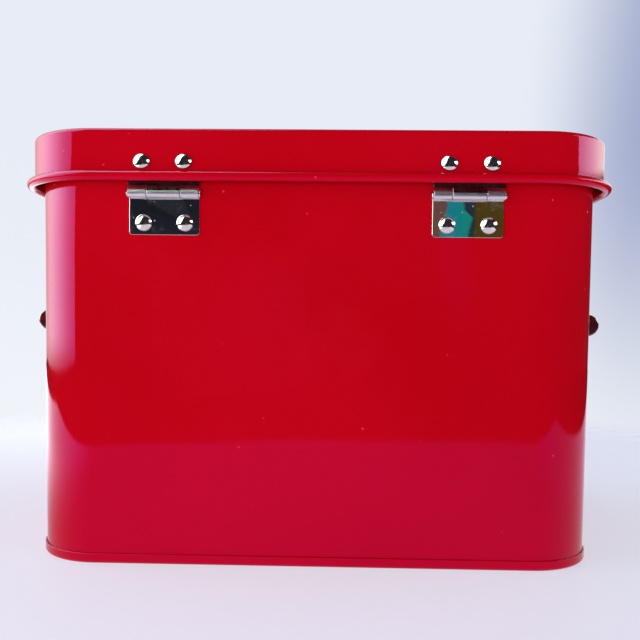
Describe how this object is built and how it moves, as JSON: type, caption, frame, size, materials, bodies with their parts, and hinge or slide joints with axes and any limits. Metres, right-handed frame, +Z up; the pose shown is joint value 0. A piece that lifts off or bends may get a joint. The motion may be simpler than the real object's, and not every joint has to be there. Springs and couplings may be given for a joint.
{
  "type": "fishing tackle box",
  "caption": "Enamelled steel tackle box with rounded corners, a hinged lid, a cantilever tray that rises with the lid, swinging side handles and a front snap clip.",
  "frame": {"origin": "middle of the flat underside of the bottom pan, halfway between the side walls and between the front and back walls", "axes": "+Z up, +Y towards the hinged back wall, +X towards the right side seen from the front"},
  "size_m": [0.2986, 0.2113, 0.2015],
  "materials": {
    "red_enamel": "glossy crimson enamel on steel sheet",
    "bright_steel": "bright nickel-plated steel",
    "tinned_sheet": "satin tinned steel sheet",
    "lacquered_wood": "turned hardwood, dark cherry lacquer"
  },
  "bodies": {
    "body": {"body_shell": "red_enamel", "body_bottom": "red_enamel", "clip_bracket": "bright_steel", "clip_pin": "bright_steel", "clip_rivet_left": "bright_steel", "clip_rivet_right": "bright_steel", "handle_left_plate": "bright_steel", "handle_left_rivet_1": "bright_steel", "handle_left_rivet_2": "bright_steel", "handle_left_front_pin": "bright_steel", "handle_left_back_pin": "bright_steel", "hinge_left_body_leaf": "bright_steel", "hinge_left_body_rivet_1": "bright_steel", "hinge_left_body_rivet_2": "bright_steel", "hinge_left_pin": "bright_steel", "tray_arm_left_rivet": "bright_steel", "handle_right_plate": "bright_steel", "handle_right_rivet_1": "bright_steel", "handle_right_rivet_2": "bright_steel", "handle_right_front_pin": "bright_steel", "handle_right_back_pin": "bright_steel", "hinge_right_body_leaf": "bright_steel", "hinge_right_body_rivet_1": "bright_steel", "hinge_right_body_rivet_2": "bright_steel", "hinge_right_pin": "bright_steel", "tray_arm_right_rivet": "bright_steel"},
    "lid": {"lid_shell": "red_enamel", "hinge_left_lid_leaf": "bright_steel", "hinge_left_lid_rivet_1": "bright_steel", "hinge_left_lid_rivet_2": "bright_steel", "lid_tab_left": "bright_steel", "hinge_right_lid_leaf": "bright_steel", "hinge_right_lid_rivet_1": "bright_steel", "hinge_right_lid_rivet_2": "bright_steel", "lid_tab_right": "bright_steel"},
    "tray": {"tray": "tinned_sheet", "tray_divider_long": "tinned_sheet", "tray_divider_front_1": "tinned_sheet", "tray_divider_front_2": "tinned_sheet", "tray_divider_front_3": "tinned_sheet", "tray_divider_back_1": "tinned_sheet", "tray_divider_back_2": "tinned_sheet", "tray_left_lid_pin": "bright_steel", "tray_left_arm_stud": "bright_steel", "tray_right_lid_pin": "bright_steel", "tray_right_arm_stud": "bright_steel"},
    "tray_arm_left": {"tray_arm_left": "bright_steel"},
    "handle_left": {"handle_left_grip": "lacquered_wood", "handle_left_front_link": "bright_steel", "handle_left_back_link": "bright_steel"},
    "tray_arm_right": {"tray_arm_right": "bright_steel"},
    "handle_right": {"handle_right_grip": "lacquered_wood", "handle_right_front_link": "bright_steel", "handle_right_back_link": "bright_steel"},
    "clip": {"clip": "bright_steel"}
  },
  "joints": [
    {"name": "lid_hinge", "type": "hinge", "parent": "body", "child": "lid", "pos_m": [0, 0.0975, 0.1726], "axis": [-1, 0, 0], "range_deg": [0, 100]},
    {"name": "tray_pivot", "type": "hinge", "parent": "lid", "child": "tray", "pos_m": [0, 0.029, 0.1846], "axis": [-1, 0, 0], "range_deg": [-100, 0]},
    {"name": "tray_arm_left_pivot", "type": "hinge", "parent": "body", "child": "tray_arm_left", "pos_m": [-0.1299, 0.0225, 0.1606], "axis": [-1, 0, 0], "range_deg": [0, 100]},
    {"name": "tray_arm_right_pivot", "type": "hinge", "parent": "body", "child": "tray_arm_right", "pos_m": [0.1299, 0.0225, 0.1606], "axis": [-1, 0, 0], "range_deg": [0, 100]},
    {"name": "handle_left_swing", "type": "hinge", "parent": "body", "child": "handle_left", "pos_m": [-0.1436, 0, 0.148], "axis": [0, 1, 0], "range_deg": [0, 150]},
    {"name": "handle_right_swing", "type": "hinge", "parent": "body", "child": "handle_right", "pos_m": [0.1436, 0, 0.148], "axis": [0, -1, 0], "range_deg": [0, 150]},
    {"name": "clip_swing", "type": "hinge", "parent": "body", "child": "clip", "pos_m": [0, -0.104, 0.154], "axis": [-1, 0, 0], "range_deg": [0, 180]}
  ],
  "couplings": [
    {"joint": "tray_pivot", "follows": "lid_hinge", "ratio": -1},
    {"joint": "tray_arm_left_pivot", "follows": "lid_hinge", "ratio": 1},
    {"joint": "tray_arm_right_pivot", "follows": "lid_hinge", "ratio": 1}
  ]
}
